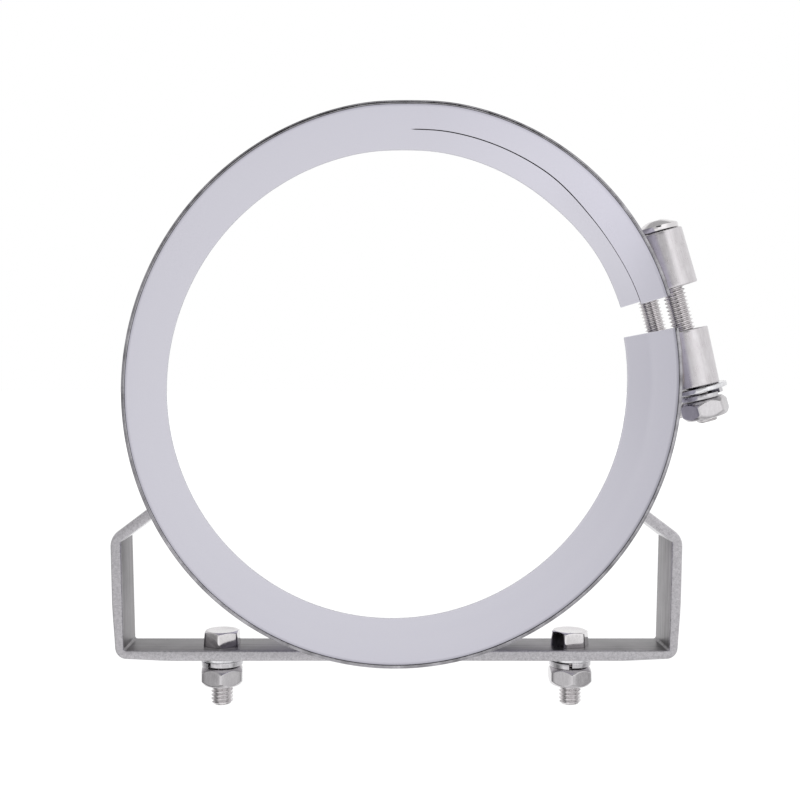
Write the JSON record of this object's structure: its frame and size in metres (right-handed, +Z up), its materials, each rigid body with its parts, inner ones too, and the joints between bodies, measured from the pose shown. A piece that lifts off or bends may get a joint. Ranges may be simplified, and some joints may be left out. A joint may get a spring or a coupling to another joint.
{
  "type": "pipe repair clamp",
  "caption": "Wide stainless band clamp closed by side-by-side bolts through tubular lugs, welded to a bent bar foot with downward bolts.",
  "frame": {"origin": "on the pipe's axis, at the middle of the band's width", "axes": "+Y along the pipe, away from the side the picture shows; +Z up, away from the foot; +X towards the bolted lugs"},
  "size_m": [0.1638, 0.055, 0.1582],
  "materials": {
    "band_steel": "satin rolled stainless steel",
    "lug_steel": "brushed stainless tube",
    "weld_steel": "as-welded bead",
    "foot_steel": "mill-finish stainless flat bar",
    "bolt_steel": "cold-formed stainless with rolled thread",
    "nut_steel": "satin machined stainless",
    "washer_steel": "bright stamped stainless",
    "spring_washer_steel": "plain stainless"
  },
  "bodies": {
    "clamp_base": {"band_lower": "band_steel", "lug_lower_front": "lug_steel", "lug_lower_rear": "lug_steel", "lug_welds_lower": "weld_steel", "mounting_foot": "foot_steel", "foot_welds": "weld_steel", "clamp_flat_washer_front": "washer_steel", "clamp_flat_washer_rear": "washer_steel", "clamp_spring_washer_front": "spring_washer_steel", "clamp_spring_washer_rear": "spring_washer_steel", "base_bolt_left": "bolt_steel", "base_bolt_right": "bolt_steel"},
    "upper_band": {"band_upper": "band_steel", "lug_upper_front": "lug_steel", "lug_upper_rear": "lug_steel", "lug_welds_upper": "weld_steel"},
    "bolt_front": {"clamp_bolt_front": "bolt_steel"},
    "bolt_rear": {"clamp_bolt_rear": "bolt_steel"},
    "nut_front": {"clamp_nut_front": "nut_steel"},
    "nut_rear": {"clamp_nut_rear": "nut_steel"},
    "washers_left": {"base_flat_washer_left": "washer_steel", "base_spring_washer_left": "spring_washer_steel"},
    "washers_right": {"base_flat_washer_right": "washer_steel", "base_spring_washer_right": "spring_washer_steel"},
    "nut_left": {"base_nut_left": "nut_steel"},
    "nut_right": {"base_nut_right": "nut_steel"}
  },
  "joints": [
    {"name": "band_flex", "type": "hinge", "parent": "clamp_base", "child": "upper_band", "pos_m": [-0.07013, 0, -0.00552], "axis": [0, 1, 0], "range_deg": [0, 3], "stiffness_Nm_per_rad": 5.6, "springref_deg": -1.72},
    {"name": "clamp_bolt_front_travel", "type": "slide", "parent": "clamp_base", "child": "bolt_front", "axis": [0.2588, 0, -0.9659], "range_m": [0, 0.00753]},
    {"name": "clamp_nut_front_spin", "type": "hinge", "parent": "clamp_base", "child": "nut_front", "pos_m": [0.07963, -0.01375, -0.00662], "axis": [-0.2588, 0, 0.9659], "range_deg": [0, 2709.9]},
    {"name": "clamp_bolt_rear_travel", "type": "slide", "parent": "clamp_base", "child": "bolt_rear", "axis": [0.2588, 0, -0.9659], "range_m": [0, 0.00753]},
    {"name": "clamp_nut_rear_spin", "type": "hinge", "parent": "clamp_base", "child": "nut_rear", "pos_m": [0.07963, 0.01375, -0.00662], "axis": [-0.2588, 0, 0.9659], "range_deg": [0, 2709.9]},
    {"name": "base_nut_left_travel", "type": "slide", "parent": "clamp_base", "child": "washers_left", "axis": [0, 0, -1], "range_m": [0, 0.0045]},
    {"name": "base_nut_left_spin", "type": "hinge", "parent": "washers_left", "child": "nut_left", "pos_m": [-0.0486, 0, -0.0796], "axis": [0, 0, -1], "range_deg": [0, 1625]},
    {"name": "base_nut_right_travel", "type": "slide", "parent": "clamp_base", "child": "washers_right", "axis": [0, 0, -1], "range_m": [0, 0.0045]},
    {"name": "base_nut_right_spin", "type": "hinge", "parent": "washers_right", "child": "nut_right", "pos_m": [0.0466, 0, -0.0796], "axis": [0, 0, -1], "range_deg": [0, 1625]}
  ],
  "couplings": [
    {"joint": "clamp_bolt_front_travel", "follows": "band_flex", "m_per_rad": 0.1435},
    {"joint": "clamp_nut_front_spin", "follows": "band_flex", "ratio": 901.64},
    {"joint": "clamp_bolt_rear_travel", "follows": "band_flex", "m_per_rad": 0.1435},
    {"joint": "clamp_nut_rear_spin", "follows": "band_flex", "ratio": 901.64},
    {"joint": "base_nut_left_spin", "follows": "base_nut_left_travel", "rad_per_m": 6283.2},
    {"joint": "base_nut_right_spin", "follows": "base_nut_right_travel", "rad_per_m": 6283.2}
  ]
}
